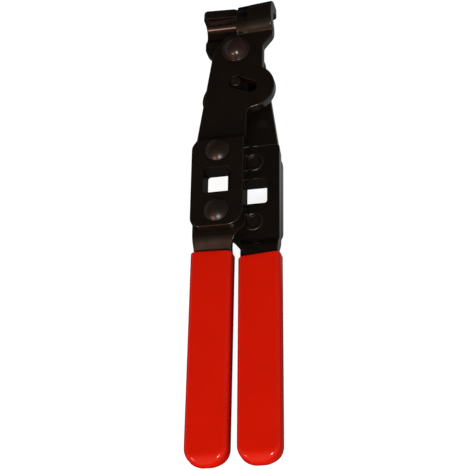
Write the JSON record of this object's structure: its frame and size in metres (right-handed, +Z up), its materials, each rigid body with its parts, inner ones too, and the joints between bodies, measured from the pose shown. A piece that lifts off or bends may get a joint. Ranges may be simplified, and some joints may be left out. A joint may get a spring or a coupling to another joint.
{
  "type": "hose clamp pliers",
  "caption": "Riveted sheet steel pliers with hooked jaws, a square drive hole in each half, a slotted stop and dipped grips.",
  "frame": {"origin": "under the middle of the closed pliers, at the level of the lowest rivet heads", "axes": "+Y along the tool towards the jaws, +Z up through the plates as it lies flat, +X to the side of the lower half's handle"},
  "size_m": [0.043, 0.2334, 0.0313],
  "materials": {
    "black_steel": "black-brown oxide on stamped steel, semi-gloss",
    "dark_rivet_steel": "dark oxide, semi-gloss",
    "plain_steel": "bare steel",
    "red_dip": "glossy dipped vinyl"
  },
  "bodies": {
    "lower_half": {"lower_jaw_plate": "black_steel", "lower_handle_bar": "black_steel", "lower_grip": "red_dip", "lower_front_rivet": "dark_rivet_steel", "lower_rear_rivet": "dark_rivet_steel", "pivot_rivet": "dark_rivet_steel", "pivot_spacer": "plain_steel"},
    "upper_half": {"upper_jaw_plate": "black_steel", "upper_handle_bar": "black_steel", "upper_grip": "red_dip", "upper_front_rivet": "dark_rivet_steel", "upper_rear_rivet": "dark_rivet_steel"},
    "stop": {"stop_pin": "plain_steel"}
  },
  "joints": [
    {"name": "pivot", "type": "hinge", "parent": "lower_half", "child": "upper_half", "pos_m": [0, 0.0895, 0.01565], "axis": [0, 0, -1], "range_deg": [0, 36]},
    {"name": "stop_slide", "type": "slide", "parent": "lower_half", "child": "stop", "axis": [-0.9141, -0.4056, 0], "range_m": [0, 0.00777]}
  ],
  "couplings": [
    {"joint": "stop_slide", "follows": "pivot", "m_per_rad": 0.0123}
  ]
}
